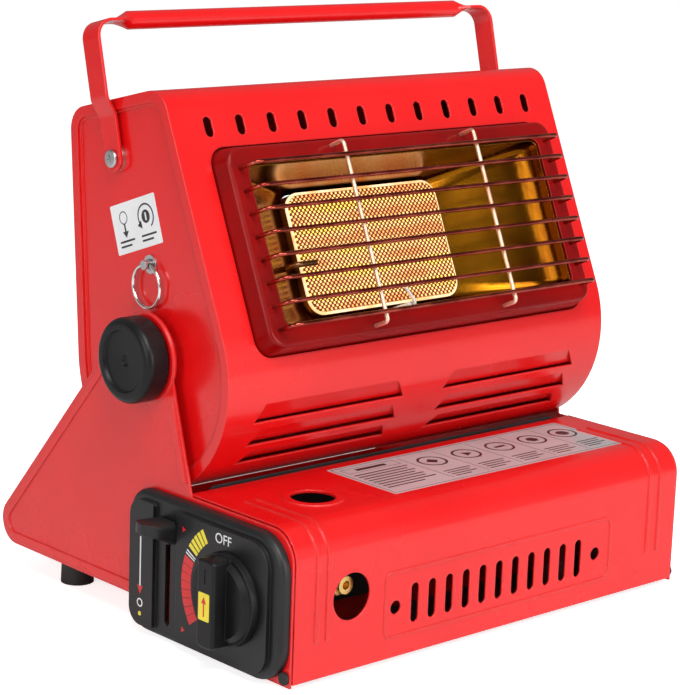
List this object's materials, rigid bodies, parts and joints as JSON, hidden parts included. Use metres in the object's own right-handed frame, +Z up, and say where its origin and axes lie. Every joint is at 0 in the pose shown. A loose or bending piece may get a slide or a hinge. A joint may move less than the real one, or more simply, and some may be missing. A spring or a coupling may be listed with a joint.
{
  "type": "portable gas heater",
  "caption": "Portable radiant gas heater: a tilting head with burner, reflector and wire guard between two ears over a flat cartridge case with side controls.",
  "frame": {"origin": "centre of the footprint, on the floor", "axes": "+Z up, -Y to the front, towards which the burner faces, +X towards the end away from the controls"},
  "size_m": [0.3183, 0.2428, 0.3093],
  "materials": {
    "red_enamel": "glossy red stove enamel",
    "dark_enamel": "glossy dark red enamel",
    "black_enamel": "satin black enamel",
    "black_plastic": "black plastic, satin",
    "zinc_steel": "zinc plated steel",
    "polished_steel": "bright rolled steel",
    "chrome_wire": "bright chrome plate",
    "aluminium_cast": "die cast, as cast",
    "brass_turned": "turned brass",
    "rubber_black": "black rubber",
    "ceramic": "porous ceramic, pale",
    "white_ceramic": "glazed white ceramic"
  },
  "bodies": {
    "stand": {"base_tray": "red_enamel", "side_frame_left": "red_enamel", "side_frame_right": "red_enamel", "bay_wall": "black_enamel", "control_panel": "black_plastic", "regulator": "aluminium_cast", "gas_valve": "aluminium_cast", "brass_nipple": "brass_turned", "front_feet": "rubber_black", "rear_feet": "rubber_black", "hinge_pins": "black_plastic", "tilt_quadrant": "zinc_steel", "pivot_flange": "zinc_steel", "tilt_bolts": "zinc_steel", "gas_hose": "rubber_black"},
    "lid": {"cartridge_lid": "red_enamel"},
    "gas_control": {"gas_knob": "black_plastic", "valve_spindle": "zinc_steel"},
    "lever": {"lock_lever": "black_plastic"},
    "clamp": {"cartridge_clamp": "zinc_steel"},
    "head": {"head_shell": "red_enamel", "side_panel_left": "red_enamel", "side_panel_right": "red_enamel", "rear_cover": "red_enamel", "cover_screws": "zinc_steel", "window_bezel": "dark_enamel", "reflector": "polished_steel", "burner_body": "zinc_steel", "ceramic_plaque": "ceramic", "plaque_frame": "zinc_steel", "igniter_electrode": "white_ceramic", "thermocouple": "zinc_steel", "guard": "chrome_wire", "guard_stays": "chrome_wire", "handle_spacers": "zinc_steel", "handle_screws": "zinc_steel", "pin_housing": "zinc_steel", "pin_spring": "zinc_steel", "hose_coupling": "brass_turned", "injector": "brass_turned", "gas_tube": "aluminium_cast", "mixing_tube": "aluminium_cast"},
    "carry_handle": {"handle": "red_enamel"},
    "pin": {"pull_pin": "zinc_steel"},
    "ring": {"pull_ring": "chrome_wire"},
    "left_hand_knob": {"tilt_knob_left": "black_plastic"},
    "right_hand_knob": {"tilt_knob_right": "black_plastic"}
  },
  "joints": [
    {"name": "head_tilt", "type": "hinge", "parent": "stand", "child": "head", "pos_m": [0.0037, -0.005, 0.142], "axis": [-1, 0, 0], "range_deg": [-14, 76], "deforming": ["gas_hose"]},
    {"name": "handle_swing", "type": "hinge", "parent": "head", "child": "carry_handle", "pos_m": [0.0037, 0.02914, 0.23758], "axis": [1, 0, 0], "range_deg": [-95, 60]},
    {"name": "lid_hinge", "type": "hinge", "parent": "stand", "child": "lid", "pos_m": [0.0037, -0.1175, 0.0065], "axis": [1, 0, 0], "range_deg": [0, 90]},
    {"name": "gas_knob_turn", "type": "hinge", "parent": "stand", "child": "gas_control", "pos_m": [-0.1463, -0.083, 0.0385], "axis": [-1, 0, 0], "range_deg": [0, 150]},
    {"name": "lever_slide", "type": "slide", "parent": "stand", "child": "lever", "axis": [0, 0, -1], "range_m": [0, 0.04]},
    {"name": "clamp_slide", "type": "slide", "parent": "stand", "child": "clamp", "axis": [-1, 0, 0], "range_m": [0, 0.008]},
    {"name": "pin_slide", "type": "slide", "parent": "head", "child": "pin", "axis": [-1, 0, 0], "range_m": [0, 0.0018], "stiffness_N_per_m": 900, "springref_m": -0.004, "deforming": ["pin_spring"]},
    {"name": "ring_swing", "type": "hinge", "parent": "pin", "child": "ring", "pos_m": [-0.1321, 0.00077, 0.18787], "axis": [0, 1, 0], "range_deg": [0, 120]},
    {"name": "left_knob_turn", "type": "hinge", "parent": "stand", "child": "left_hand_knob", "pos_m": [-0.1423, -0.005, 0.142], "axis": [-1, 0, 0], "range_deg": [0, 180]},
    {"name": "right_knob_turn", "type": "hinge", "parent": "stand", "child": "right_hand_knob", "pos_m": [0.1497, -0.005, 0.142], "axis": [1, 0, 0], "range_deg": [0, 180]}
  ],
  "couplings": [
    {"joint": "clamp_slide", "follows": "lever_slide", "ratio": 0.2}
  ]
}
